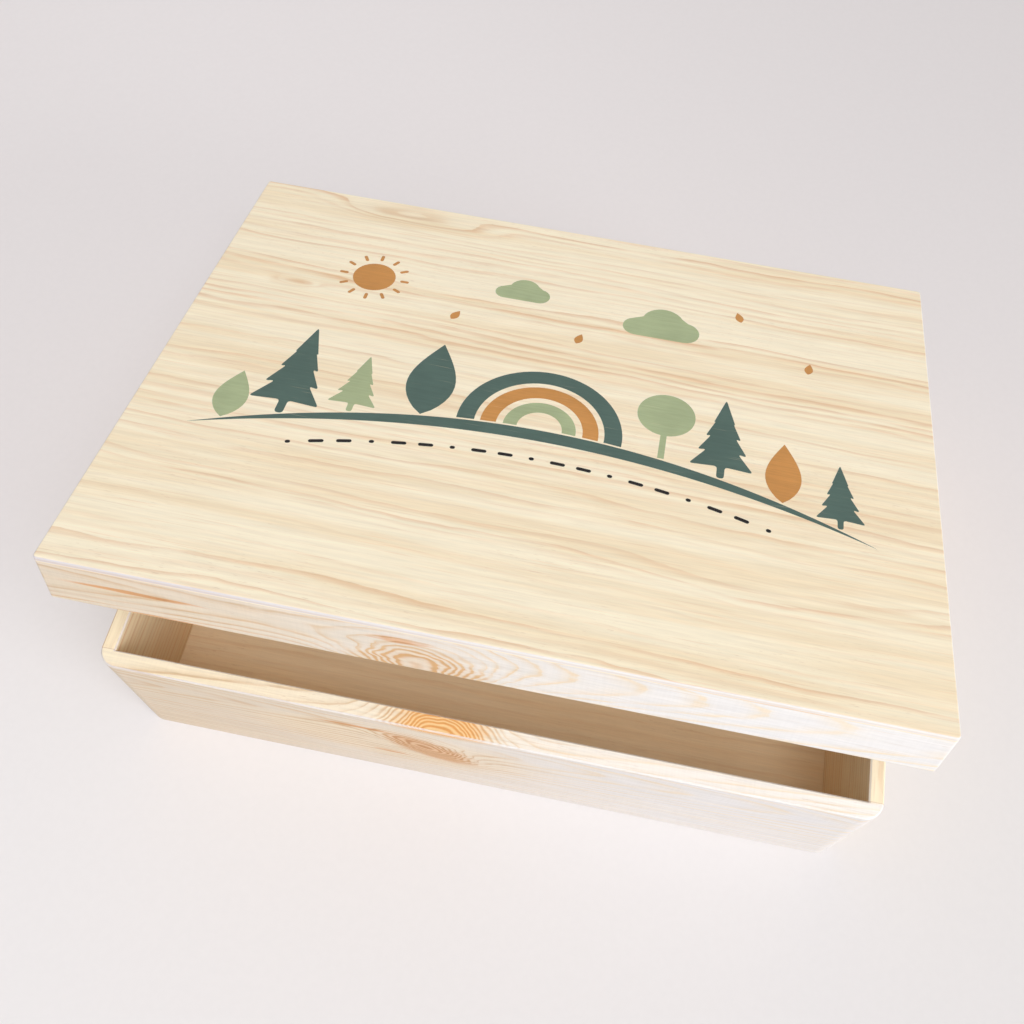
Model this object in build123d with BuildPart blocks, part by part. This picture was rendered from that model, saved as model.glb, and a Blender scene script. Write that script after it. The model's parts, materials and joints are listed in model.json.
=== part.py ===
"""Keepsake box: a shallow pine box whose framed lid is hinged along the back and stands a little ajar.

The origin is the centre of the underside. +X runs to the right, +Y to the hinged back and +Z up,
so the front faces -Y. The body is four boards round a plywood base let into a rebate, and the lid
is four rails under a thin plywood panel. Two butt hinges are screwed on outside, at the back.
"""

import os
from math import cos, radians, sin, sqrt

from build123d import *

# ---------------------------------------------------------------- driving sizes, in millimetres

# The box as a whole
box_width = 400.0  # left to right
box_depth = 300.0  # front to back
body_height = 95.0  # underside to rim
rail_height = 27.0  # of the lid's frame, under its panel
panel_thickness = 3.0  # of the lid's plywood panel
lid_ajar = 13.2  # degrees that the lid stands open
shut_gap = 0.4  # between the two rims when the lid is shut

# Boards and rails
long_board_thickness = 9.0  # front and back, which run the full width
side_board_thickness = 7.5  # sides, which butt between them
body_corner_radius = 10.0  # upright corners of the body
lid_corner_radius = 2.0  # upright corners of the lid, nearly square
eased_edge = 0.8  # sanded edges of the rims and of the underside
panel_edge_radius = 1.0  # upper edge of the lid's panel

# Base panel, let in flush from below
base_thickness = 4.0
rebate_width = 4.0  # how far the panel reaches under the boards
router_radius = 6.0  # left by the cutter in the rebate's corners
base_clearance = 0.2  # between the panel and the rebate, all round

# Headless square pins through the glued corners, set under the surface and filled over
pin_nail_width = 0.8
pin_nail_length = 25.0
pin_nail_set = 1.0  # from the outer surface down to the pin's end
body_pin_nail_heights = (20.0, 48.0, 76.0)
rail_pin_nail_heights = (8.0, 19.0)

# T-headed wire brads that hold the base panel, of flat wire with a chisel point
brad_width = 1.25
brad_thickness = 1.0
brad_length = 15.0
brad_head_width = 2.1
brad_head_thickness = 0.5
brad_point_length = 1.5
brad_end_margin = 22.0  # from the inside corner to the first brad
brads_along_width = 5
brads_along_depth = 3

# Butt hinges on the back
hinge_inset = 80.0  # from the end of the box to the middle of the hinge
leaf_length = 30.0  # along the pin
leaf_width = 13.0  # from the pin's centre to the free edge
leaf_thickness = 1.0
leaf_corner_radius = 1.5
knuckle_count = 5
knuckle_gap = 0.3  # between neighbouring knuckles
knuckle_wall = 1.0
pin_radius = 1.0
pin_clearance = 0.05  # radial, in the knuckles that turn
notch_clearance = 0.2  # round the other leaf's knuckles
barrel_standoff = 0.3  # between the barrel and the back of the box

# Countersunk, slotted wood screws in the leaves, with plain shanks in place of threads
screw_radius = 1.25
screw_head_radius = 2.25
screw_length = 8.0
screw_slot_width = 0.5
screw_slot_depth = 0.4
screw_spacing = 18.0  # between the two screws of a leaf
screw_from_pin = 8.0
screw_turns = (25.0, 70.0)  # degrees at which the two slots came to rest

# ---------------------------------------------------------------- what follows from them

inner_width = box_width - 2 * side_board_thickness
inner_depth = box_depth - 2 * long_board_thickness

barrel_radius = pin_radius + knuckle_wall
knuckle_length = (leaf_length - (knuckle_count - 1) * knuckle_gap) / knuckle_count
knuckle_pitch = knuckle_length + knuckle_gap
pin_to_board = barrel_radius + barrel_standoff
leaf_face = leaf_thickness - pin_to_board  # outer face of a leaf, from the pin's centre
pin_y = box_depth / 2 + pin_to_board
pin_z = body_height + shut_gap / 2
hinge_x = box_width / 2 - hinge_inset

# The lid turns about the pins. Its own plane lies on its lower rim, centred between the rails.
lid_up = Vector(0, sin(radians(lid_ajar)), cos(radians(lid_ajar)))
lid_back = Vector(0, cos(radians(lid_ajar)), -sin(radians(lid_ajar)))
lid_rim = Plane(
    origin=Vector(0, pin_y, pin_z) - lid_back * pin_y + lid_up * (shut_gap / 2),
    x_dir=(1, 0, 0),
    z_dir=lid_up,
)
lid_axis = Axis(lid_rim.origin, lid_up)

# A leaf's plane is centred on its pin: X runs along the pin, Y to the leaf's free edge and Z away
# from the box. The body's leaves hang down from the pins and the lid's stand up from them.
body_leaf_planes = {
    side: Plane(origin=(x, pin_y, pin_z), x_dir=(1, 0, 0), z_dir=(0, 1, 0))
    for side, x in (("left", -hinge_x), ("right", hinge_x))
}
lid_leaf_planes = {
    side: Plane(origin=(x, pin_y, pin_z), x_dir=(-1, 0, 0), z_dir=lid_back)
    for side, x in (("left", -hinge_x), ("right", hinge_x))
}

os.makedirs("parts", exist_ok=True)


def save(builder, name):
    """Label a finished piece and write it as one STEP file."""
    builder.part.label = name
    export_step(builder.part, f"parts/{name}.step")


# ---------------------------------------------------------------- fasteners and their places

with BuildPart() as pin_nail:
    Box(pin_nail_width, pin_nail_length, pin_nail_width)

with BuildPart() as brad:
    with BuildSketch(Plane.XZ):
        with BuildLine():
            Polyline(
                (-brad_head_width / 2, 0),
                (brad_head_width / 2, 0),
                (brad_head_width / 2, -brad_head_thickness),
                (brad_width / 2, -brad_head_thickness),
                (brad_width / 2, brad_point_length - brad_length),
                (0, -brad_length),
                (-brad_width / 2, brad_point_length - brad_length),
                (-brad_width / 2, -brad_head_thickness),
                (-brad_head_width / 2, -brad_head_thickness),
                close=True,
            )
        make_face()
    extrude(amount=brad_thickness / 2, both=True)

with BuildPart() as screw:
    with BuildSketch(Plane.XZ):
        with BuildLine():
            Polyline(
                (0, 0),
                (screw_head_radius, 0),
                (screw_radius, screw_radius - screw_head_radius),
                (screw_radius, -screw_length),
                (0, -screw_length),
                close=True,
            )
        make_face()
    revolve(axis=Axis.Z)
    Box(2 * screw_head_radius, screw_slot_width, 2 * screw_slot_depth, mode=Mode.SUBTRACT)


def pin_nail_places(corner_radius, heights):
    """Middles of the pins along the four corners of one frame, at these heights over its rim."""
    x = (box_width - side_board_thickness) / 2
    into_round = max(0, x - (box_width / 2 - corner_radius))
    surface = box_depth / 2 - corner_radius + sqrt(corner_radius**2 - into_round**2)
    y = surface - pin_nail_set - pin_nail_length / 2
    return [(i * x, j * y, z) for i in (-1, 1) for j in (-1, 1) for z in heights]


def brad_places():
    """Heads of the base panel's brads, along the ledge under the boards, driven upwards."""
    ledge_x = (inner_width + rebate_width) / 2
    ledge_y = (inner_depth + rebate_width) / 2
    run_x = inner_width - 2 * brad_end_margin
    run_y = inner_depth - 2 * brad_end_margin
    xs = [run_x * (n / (brads_along_width - 1) - 0.5) for n in range(brads_along_width)]
    ys = [run_y * (n / (brads_along_depth - 1) - 0.5) for n in range(brads_along_depth)]
    places = [Location((x, side * ledge_y, 0), (180, 0, 0)) for side in (-1, 1) for x in xs]
    places += [Location((side * ledge_x, y, 0), (180, 0, 90)) for side in (-1, 1) for y in ys]
    return places


def screw_places(leaf_plane):
    """Heads of one leaf's two screws, in the leaf's outer face, turned as they were driven."""
    return [
        leaf_plane.location * Location((side * screw_spacing / 2, screw_from_pin, leaf_face), (0, 0, turn))
        for side, turn in zip((-1, 1), screw_turns)
    ]


def all_screw_places(leaf_planes):
    """Heads of the screws in both leaves of the body, or of the lid."""
    return [place for plane in leaf_planes.values() for place in screw_places(plane)]


body_pin_nails = pin_nail_places(body_corner_radius, body_pin_nail_heights)
rail_pin_nails = [
    lid_rim.location * Location(place) for place in pin_nail_places(lid_corner_radius, rail_pin_nail_heights)
]

# ---------------------------------------------------------------- boards and rails


def save_boards(frame, rim, height, names):
    """Tell a glued-up frame apart at its butt joints and save its front, back, left and right."""
    long_y = (box_depth - long_board_thickness) / 2
    side_x = (box_width - side_board_thickness) / 2
    outlines = (
        ((0, -long_y), box_width, long_board_thickness),
        ((0, long_y), box_width, long_board_thickness),
        ((-side_x, 0), side_board_thickness, inner_depth),
        ((side_x, 0), side_board_thickness, inner_depth),
    )
    for name, (middle, width, depth) in zip(names, outlines):
        with BuildPart() as board:
            add(frame.part)
            with BuildSketch(rim):
                with Locations(middle):
                    Rectangle(width, depth)
            extrude(amount=height, mode=Mode.INTERSECT)
        save(board, name)


# The body's boards are glued up, routed and sanded as one frame before they are told apart.
with BuildPart() as body_frame:
    with BuildSketch():
        RectangleRounded(box_width, box_depth, body_corner_radius)
        Rectangle(inner_width, inner_depth, mode=Mode.SUBTRACT)
    extrude(amount=body_height)
    rim_edges = body_frame.faces().sort_by(Axis.Z)[-1].edges()
    foot_edges = body_frame.faces().sort_by(Axis.Z)[0].outer_wire().edges()
    chamfer(rim_edges + foot_edges, eased_edge)
    with BuildSketch():
        RectangleRounded(inner_width + 2 * rebate_width, inner_depth + 2 * rebate_width, router_radius)
    extrude(amount=base_thickness, mode=Mode.SUBTRACT)
    with Locations(*body_pin_nails):
        add(pin_nail.part, mode=Mode.SUBTRACT)
    with Locations(*brad_places()):
        add(brad.part, mode=Mode.SUBTRACT)
    with Locations(*all_screw_places(body_leaf_planes)):
        add(screw.part, mode=Mode.SUBTRACT)
save_boards(body_frame, Plane.XY, body_height, ("front_board", "back_board", "left_board", "right_board"))

# The lid's rails are butted like the boards, and the panel is glued on top of them.
with BuildPart() as lid_frame:
    with BuildSketch(lid_rim):
        RectangleRounded(box_width, box_depth, lid_corner_radius)
        Rectangle(inner_width, inner_depth, mode=Mode.SUBTRACT)
    extrude(amount=rail_height)
    chamfer(lid_frame.faces().sort_by(lid_axis)[0].edges(), eased_edge)
    with Locations(*rail_pin_nails):
        add(pin_nail.part, mode=Mode.SUBTRACT)
    with Locations(*all_screw_places(lid_leaf_planes)):
        add(screw.part, mode=Mode.SUBTRACT)
lid_rails = ("lid_front_rail", "lid_back_rail", "lid_left_rail", "lid_right_rail")
save_boards(lid_frame, lid_rim, rail_height, lid_rails)

# ---------------------------------------------------------------- panels

with BuildPart() as base_panel:
    with BuildSketch():
        RectangleRounded(
            inner_width + 2 * (rebate_width - base_clearance),
            inner_depth + 2 * (rebate_width - base_clearance),
            router_radius - base_clearance,
        )
    extrude(amount=base_thickness)
    with Locations(*brad_places()):
        add(brad.part, mode=Mode.SUBTRACT)
save(base_panel, "base_panel")

with BuildPart() as lid_panel:
    with BuildSketch(lid_rim.offset(rail_height)):
        RectangleRounded(box_width, box_depth, lid_corner_radius)
    extrude(amount=panel_thickness)
    fillet(lid_panel.faces().sort_by(lid_axis)[-1].edges(), panel_edge_radius)
save(lid_panel, "lid_panel")

# ---------------------------------------------------------------- hinges


def knuckle_middles(first):
    """Middles of every second knuckle along the pin, counted from the first one of a leaf."""
    last = (knuckle_count - 1) / 2
    return [(n - last) * knuckle_pitch for n in range(first, knuckle_count, 2)]


def save_leaf(plane, first, bore_radius, name):
    """One leaf: a plate with alternate knuckles rolled at the pin, notched round the other's."""
    with BuildPart() as leaf:
        with BuildSketch(plane.offset(-pin_to_board)) as plate:
            with Locations((0, leaf_width / 2)):
                Rectangle(leaf_length, leaf_width)
            fillet(plate.vertices().group_by(Axis.Y)[-1], leaf_corner_radius)
            with Locations(*[(x, 0) for x in knuckle_middles(1 - first)]):
                notch_depth = barrel_radius + notch_clearance
                Rectangle(knuckle_length + 2 * knuckle_gap, 2 * notch_depth, mode=Mode.SUBTRACT)
        extrude(amount=leaf_thickness)
        across_pin = Plane(origin=plane.origin, x_dir=plane.y_dir, z_dir=plane.x_dir)
        for x in knuckle_middles(first):
            with BuildSketch(across_pin.offset(x - knuckle_length / 2)):
                Circle(barrel_radius)
            extrude(amount=knuckle_length)
        with BuildSketch(across_pin.offset(-leaf_length / 2)):
            Circle(bore_radius)
        extrude(amount=leaf_length, mode=Mode.SUBTRACT)
        with Locations(*screw_places(plane)):
            CounterSinkHole(screw_radius, screw_head_radius, counter_sink_angle=90)
    save(leaf, name)


# The body's leaf has the outer knuckles and grips the pin. The lid's leaf turns on it.
for side, leaf_plane in body_leaf_planes.items():
    save_leaf(leaf_plane, 0, pin_radius, f"{side}_hinge_body_leaf")
    with BuildPart() as pin:
        with BuildSketch(Plane(origin=leaf_plane.origin, z_dir=leaf_plane.x_dir)):
            Circle(pin_radius)
        extrude(amount=leaf_length / 2, both=True)
    save(pin, f"{side}_hinge_pin")
for side, leaf_plane in lid_leaf_planes.items():
    save_leaf(leaf_plane, 1, pin_radius + pin_clearance, f"{side}_hinge_lid_leaf")

# ---------------------------------------------------------------- fasteners where they are driven

for fastener, places, name in (
    (pin_nail, body_pin_nails, "corner_pins"),
    (pin_nail, rail_pin_nails, "lid_corner_pins"),
    (brad, brad_places(), "base_brads"),
    (screw, all_screw_places(body_leaf_planes), "body_hinge_screws"),
    (screw, all_screw_places(lid_leaf_planes), "lid_hinge_screws"),
):
    with BuildPart() as fasteners:
        with Locations(*places):
            add(fastener.part)
    save(fasteners, name)
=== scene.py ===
import json
import math
from dataclasses import dataclass

import bmesh
import bpy
from mathutils import Matrix, Vector


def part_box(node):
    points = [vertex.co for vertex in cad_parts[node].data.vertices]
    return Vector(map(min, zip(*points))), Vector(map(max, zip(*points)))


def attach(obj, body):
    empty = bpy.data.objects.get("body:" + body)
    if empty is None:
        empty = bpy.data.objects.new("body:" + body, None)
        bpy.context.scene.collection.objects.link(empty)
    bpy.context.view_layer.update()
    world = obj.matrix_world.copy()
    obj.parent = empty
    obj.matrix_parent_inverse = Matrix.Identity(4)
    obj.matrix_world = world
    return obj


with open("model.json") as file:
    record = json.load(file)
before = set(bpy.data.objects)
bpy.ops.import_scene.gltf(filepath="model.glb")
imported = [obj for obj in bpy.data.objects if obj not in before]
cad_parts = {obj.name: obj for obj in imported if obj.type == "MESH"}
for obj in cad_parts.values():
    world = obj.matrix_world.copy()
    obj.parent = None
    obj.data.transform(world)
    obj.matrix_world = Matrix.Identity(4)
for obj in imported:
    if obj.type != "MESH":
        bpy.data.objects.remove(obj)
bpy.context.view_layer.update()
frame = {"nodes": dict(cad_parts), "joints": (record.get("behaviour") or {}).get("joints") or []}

MM = 0.001  # a millimetre in the scene's metres
NODES = frame["nodes"]

# ---------------------------------------------------------------- the lid's own frame
# Its origin is on the hinge pins, and it lies flat when the lid is shut: X along the box, Y to the back
# and Z up.
LID_HINGE = frame["joints"][0]
PIN = Vector(LID_HINGE["pos_m"])
LID_AJAR = math.radians(-LID_HINGE["range_deg"][0])
LID_TO_FRAME = Matrix.Translation(PIN) @ Matrix.Rotation(-LID_AJAR, 4, "X")
FRAME_TO_LID = LID_TO_FRAME.inverted()


def lid_span(node, axis):
    """Lowest and highest place of a lid node along one axis of the lid's own frame, in metres."""
    places = [(FRAME_TO_LID @ v.co)[axis] for v in NODES[node].data.vertices]
    return min(places), max(places)


LID_FRONT, LID_BACK = lid_span("lid_panel", 1)
PANEL_UNDER, LID_TOP = lid_span("lid_panel", 2)
LID_MIDDLE = (LID_FRONT + LID_BACK) / 2
SIDE_BOARD_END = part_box("left_board")[1].y
RAIL_END = lid_span("lid_left_rail", 1)[1] - LID_MIDDLE


# ---------------------------------------------------------------- colours
def srgb(red, green, blue):
    """An sRGB colour of 0 to 255 as the linear RGBA that a shader takes."""

    def linear(value):
        value /= 255
        return value / 12.92 if value <= 0.04045 else ((value + 0.055) / 1.055) ** 2.4

    return (linear(red), linear(green), linear(blue), 1.0)


# Pine: early wood, late-wood lines, stains and sanded edges, and painted light, shade, highlights and
# reflections
CREAM = srgb(253, 240, 213)
SAND = srgb(244, 222, 186)
TAN = srgb(217, 172, 122)
PALE = srgb(248, 240, 230)
IVORY = srgb(253, 238, 207)
# Painted highlight on inner eased edges, and painted washed-out light at the right end of the rim
PAINTED_HIGHLIGHT_MILK = srgb(254, 250, 246)
# Painted washed-out light at the right end of the lid's front and of the panel's edge
PAINTED_LIGHT_CHALK = srgb(240, 238, 238)
# Painted washed-out light at the right end of the box's front and of its eased edges
PAINTED_LIGHT_MIST = srgb(236, 233, 234)
# Painted shade at the left end of the box's front and of the lid's front
PAINTED_SHADE_BEIGE = srgb(222, 205, 182)
HONEY = srgb(211, 172, 122)
# Late wood under painted washed-out light
PAINTED_LIGHT_STRAW = srgb(246, 225, 190)
APRICOT = srgb(252, 213, 158)
FAWN = srgb(230, 204, 172)
RUSSET = srgb(234, 168, 98)
UMBER = srgb(229, 190, 150)
BARK = srgb(202, 146, 96)
RUST = srgb(220, 162, 106)
FLECK = srgb(182, 138, 100)
# Painted amber shade on the inner faces
PAINTED_SHADE_AMBER = srgb(238, 176, 108)
# Painted cool reflection on eased edges and on the panel's edge
PAINTED_REFLECTION_EDGE = srgb(217, 211, 217)
SANDED = srgb(238, 228, 210)
# Painted shade on the left board's outer eased edge
PAINTED_SHADE_EDGE = srgb(220, 180, 140)
END_GRAIN = (0.86, 0.80, 0.72, 1.0)  # multiplies the wood's colour

# Inks of the print
FOREST = srgb(82, 104, 96)
CARAMEL = srgb(201, 142, 79)
SAGE = srgb(169, 180, 140)
INK = srgb(26, 25, 24)

# Metals
BRASS = (0.76, 0.56, 0.26, 1.0)
BRASS_DULL = (0.55, 0.38, 0.17, 1.0)
STEEL = (0.60, 0.59, 0.58, 1.0)
STEEL_DULL = (0.42, 0.41, 0.40, 1.0)


# ---------------------------------------------------------------- node trees
class Graph:
    """The node tree of one material, with each node made and wired in one call."""

    def __init__(self, name):
        self.material = bpy.data.materials.new(name)
        self.material.use_nodes = True
        self.nodes = self.material.node_tree.nodes
        self.links = self.material.node_tree.links
        self.shader = self.nodes["Principled BSDF"]

    def put(self, socket, value):
        """Links an output to the socket, or sets the socket's own value."""
        if isinstance(value, bpy.types.NodeSocket):
            self.links.new(value, socket)
        else:
            socket.default_value = value

    def node(self, kind, inputs=(), **settings):
        made = self.nodes.new(kind)
        for name, value in settings.items():
            setattr(made, name, value)
        for name, value in dict(inputs).items():
            self.put(made.inputs[name], value)
        return made

    def math(self, operation, *values, clamp=False):
        made = self.node("ShaderNodeMath", enumerate(values), operation=operation, use_clamp=clamp)
        return made.outputs[0]

    def vector(self, operation, *values):
        made = self.node("ShaderNodeVectorMath", enumerate(values), operation=operation)
        is_number = operation in ("LENGTH", "DOT_PRODUCT")
        return made.outputs["Value" if is_number else "Vector"]

    def scaled(self, vector, factor):
        made = self.node("ShaderNodeVectorMath", {"Vector": vector, "Scale": factor}, operation="SCALE")
        return made.outputs["Vector"]

    def split(self, vector):
        return self.node("ShaderNodeSeparateXYZ", {"Vector": vector}).outputs

    def joined(self, *parts):
        return self.node("ShaderNodeCombineXYZ", enumerate(parts)).outputs[0]

    def noise(self, place, size, seed=0.0, detail=2.0, rough=0.5):
        """Noise whose blobs are about size long along each axis. Returns its number and its colour."""
        stretched = self.vector("MULTIPLY", place, tuple(1 / s for s in size))
        moved = self.vector("ADD", stretched, (seed, seed * 1.7, seed * 2.3))
        made = self.node(
            "ShaderNodeTexNoise",
            {"Vector": moved, "Scale": 1.0, "Detail": detail, "Roughness": rough},
        )
        return made.outputs[0], made.outputs[1]

    def band(self, value, low, high, to_low=0.0, to_high=1.0):
        """The value's place between low and high, eased, as a number from to_low to to_high."""
        made = self.node(
            "ShaderNodeMapRange",
            {"Value": value, "From Min": low, "From Max": high, "To Min": to_low, "To Max": to_high},
            interpolation_type="SMOOTHSTEP",
        )
        return made.outputs[0]

    def ramp(self, value, stops):
        """A number that follows (place, height) stops."""
        made = self.node("ShaderNodeFloatCurve", {"Factor": 1.0, "Value": value})
        points = made.mapping.curves[0].points
        while len(points) < len(stops):
            points.new(0.5, 0.5)
        for point, stop in zip(points, stops):
            point.location = stop
        made.mapping.update()
        return made.outputs[0]

    def mix(self, factor, first, second, blend="MIX"):
        """Two colours mixed."""
        made = self.nodes.new("ShaderNodeMix")
        made.data_type = "RGBA"
        made.blend_type = blend
        made.clamp_factor = True
        for index, value in ((0, factor), (6, first), (7, second)):
            self.put(made.inputs[index], value)
        return made.outputs[2]

    def tinted(self, colour, factor):
        """A colour made lighter or darker by a number."""
        if not isinstance(colour, bpy.types.NodeSocket):
            colour = colour[:3]
        return self.scaled(colour, factor)

    def varied(self, colour, noise, low, high, reach=0.2):
        """A colour made darker and lighter, from low to high as the noise rises by its reach about 0.5."""
        return self.tinted(colour, self.band(noise, 0.5 - reach, 0.5 + reach, low, high))

    def bump(self, height, distance, strength=1.0):
        made = self.node(
            "ShaderNodeBump", {"Height": height, "Distance": distance, "Strength": strength}
        )
        return made.outputs[0]


# ---------------------------------------------------------------- wood
# How long each kind of mark is along the grain, across it and up, in millimetres
FIBRE = (18, 0.9, 0.9)
THREAD = (75, 2.1, 2.1)
HAIRLINE = (38, 0.9, 0.9)
STREAK = (260, 11, 11)
PORE = (5.5, 0.5, 0.5)
PORE_PATCH = (120, 60, 60)
SAW_MARK = (0.9, 26, 18)
RING_RIPPLE = (16, 5, 5)
LINE_FADE = (45, 6, 6)
KNOT_WARP = (16, 16, 7)
STAIN_WARP = (16, 16, 1.7)

FIBRE_REACH = 0.25  # how far the fibres' noise spreads about 0.5
KNOT_WARP_BY = (10.0, 0.0, 3.5)  # how far a knot's outline strays, from side to side
STAIN_WARP_BY = (26.0, 0.0, 2.2)

# How dark a late-wood line is at each share of its ring
THIN_LINE = ((0.0, 0.45), (0.05, 0.12), (0.15, 0.0), (0.56, 0.04), (0.8, 0.32), (0.93, 1.0), (1.0, 0.45))
BROAD_LINE = ((0.0, 0.6), (0.16, 0.12), (0.3, 0.0), (0.46, 0.12), (0.66, 0.75), (0.84, 1.0), (1.0, 0.6))

# How years differ, in rings
YEAR_DRIFT = (3.5, 1, 1)
YEAR_DRIFT_BY = 2.0
FAINT_YEARS = 1.6  # the higher this power, the more years are faint
PACKED_FROM, PACKED_TO = 1.2, 4.0  # rings that a knot adds or takes where lines start and end to broaden

# Where a board has painted light and shade, stains and wear, in millimetres, and how strongly
PAINTED_LIGHT_FROM, PAINTED_LIGHT_TO = -185.0, 135.0  # along the front, from its left colour to its right one: painted shade at the left of the front faces, and painted washed-out light at the right of them and of the rim
PAINTED_LIGHT_SHARE = 0.8
PAINTED_LIGHT_CONTRAST = -0.1  # what the lines gain where washed-out light is painted on the board
STAINED_CONTRAST = 0.5  # what they gain in a stain
INSIDE_PALE_AT, INSIDE_DEEP_AT = 78.0, 22.0  # heights at which the inner faces have these shares of amber, a painted shade that deepens towards the bottom
INSIDE_PALE, INSIDE_DEEP = 0.04, 0.25
END_GRAIN_SHARE = 0.75
# How strongly the eased edges take their colour: sanded wear, and painted highlight, reflection and shade
EDGE_WEAR_AND_LIGHT_SHARE = 0.6
GLUE_FROM, GLUE_TO = 0.45, 0.15  # short of the joint
GLUE_SHARE = 0.45
PLY_BLUR = 0.1
PLY_SHARE = 0.16
SANDED_FROM, SANDED_TO = 2.7, 2.0  # below the panel's top

# The wood's surface. Relief is in grain depths.
WOOD_SPECULAR = 0.3
WOOD_ROUGH = 0.56
FIBRE_ROUGH = 0.16
LATE_ROUGH = -0.07
GRAIN_DEPTH = 0.05 * MM
GRAIN_STRENGTH = 0.6
LATE_RELIEF = 0.5
PORE_RELIEF = -0.8
SAW_RELIEF = 0.5


@dataclass
class Swirl:
    """A knot near the surface. It pushes the growth rings aside, in millimetres, adds or takes rings, and
    stains the wood in one tone and its lines in a deeper one. It leans over by lean times its height."""

    place: tuple
    reach: tuple
    lean: float = 0.0
    push: tuple = (0.0, 0.0)
    rings: float = 0.0
    stain: float = 0.0
    tone: tuple = APRICOT
    deep: tuple = RUSSET


@dataclass
class Board:
    """How a board was sawn. Millimetres, in the order along the grain, across it and up."""

    grain: str = "X"  # the frame's or the lid's axis along which it grew
    in_lid: bool = False
    pith: tuple = (10.0, -70.0)  # the middle of the tree, across and up
    slant: tuple = (0.0, 0.02)  # how far the pith drifts per millimetre along the grain
    rings: float = 4.0  # width of a year's growth
    waver: tuple = (200.0, 40.0, 6.0)  # slow bends of the rings: length, width and amount
    ripple: float = 0.35  # quick bends of the rings, as a share of a ring
    sawn: float = 0.4  # strength of the saw marks
    line: float = 0.5  # contrast of the late wood
    broad: float = 0.2  # share of the broad line in its profile
    year_spread: float = 0.6  # how much fainter a faint year's line may be
    early: tuple = CREAM
    warm: tuple = SAND
    late: tuple = HONEY
    painted_lit_late: tuple = PAINTED_LIGHT_STRAW  # colour of the late wood under painted washed-out light
    streaks: float = 0.5
    hairlines: float = 0.2
    flecks: float = 0.3
    swirls: tuple = ()
    # Painted shade towards the left end of the front and painted washed-out light towards its right end
    painted_light: tuple = ()  # each a direction that a face looks in, its left colour and its right colour
    inside: tuple = ()  # the direction that the inner face looks in
    # Sanded wear by default, and painted highlights, reflections and shade on the boards that set their own
    edges: tuple = (SANDED, SANDED)  # colours of the eased edges outside and inside
    joint_at: float = 0.0  # how far from the middle the glued ends lie
    plies: tuple = ()  # underside and top of a plywood panel
    seed: float = 0.0


def lid_turned(g, vector, kind):
    """A point or a direction of the frame as the lid's own frame has it."""
    inputs = {"Vector": vector, "Rotation": (LID_AJAR, 0.0, 0.0)}
    if kind == "POINT":
        inputs["Location"] = -(FRAME_TO_LID.to_3x3() @ PIN)
    return g.node("ShaderNodeMapping", inputs, vector_type=kind).outputs[0]


def board_space(g, board):
    """Where a surface point is in its board, in millimetres, and which way it faces there."""
    source = g.node("ShaderNodeTexCoord").outputs
    place, facing = source["Object"], source["Normal"]
    if board.in_lid:
        place = lid_turned(g, place, "POINT")
        facing = lid_turned(g, facing, "VECTOR")
    place = g.scaled(place, 1 / MM)
    if board.grain == "Y":
        place, facing = (g.joined(v[1], v[0], v[2]) for v in (g.split(place), g.split(facing)))
    return place, facing


def swirl_mask(g, place, swirl):
    """1 at the swirl's middle, fading to 0 about two reaches away."""
    away = g.vector("SUBTRACT", place, swirl.place)
    if swirl.lean:
        away = g.vector("ADD", away, g.scaled((swirl.lean, 0.0, 0.0), g.split(away)[2]))
    away = g.vector("DIVIDE", away, swirl.reach)
    return g.math("EXPONENT", g.math("MULTIPLY", g.vector("DOT_PRODUCT", away, away), -1.0))


def warped(g, place, size, seed, detail, amount):
    """The place, moved about by noise, by at most about half the amount each way."""
    shift = g.noise(place, size, seed, detail=detail)[1]
    shift = g.vector("MULTIPLY", g.vector("SUBTRACT", shift, (0.5,) * 3), amount)
    return g.vector("ADD", place, shift)


def growth_rings(g, place, board):
    """Distance from the tree's pith in rings, bent by slow waver and by the swirls, and the rings that the
    swirls add."""
    along = g.split(place)[0]
    length, width, amount = board.waver
    wavering = warped(g, place, (length, width, width), board.seed + 3, 2.5, (0.0, amount, amount))
    from_pith = g.vector("SUBTRACT", wavering, (0.0, *board.pith))
    from_pith = g.vector("SUBTRACT", from_pith, g.scaled((1.0, *board.slant), along))
    added = 0.0
    if board.swirls:
        uneven = warped(g, place, KNOT_WARP, board.seed + 47, 2, KNOT_WARP_BY)
    for swirl in board.swirls:
        mask = swirl_mask(g, uneven, swirl)
        from_pith = g.vector("ADD", from_pith, g.scaled((0.0, *swirl.push), mask))
        added = g.math("MULTIPLY_ADD", mask, swirl.rings, added)
    rings = g.math("DIVIDE", g.vector("LENGTH", from_pith), board.rings)
    ripple = g.noise(place, RING_RIPPLE, board.seed + 4, detail=2)[0]
    return g.math("MULTIPLY_ADD", ripple, board.ripple, g.math("ADD", rings, added)), added


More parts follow.
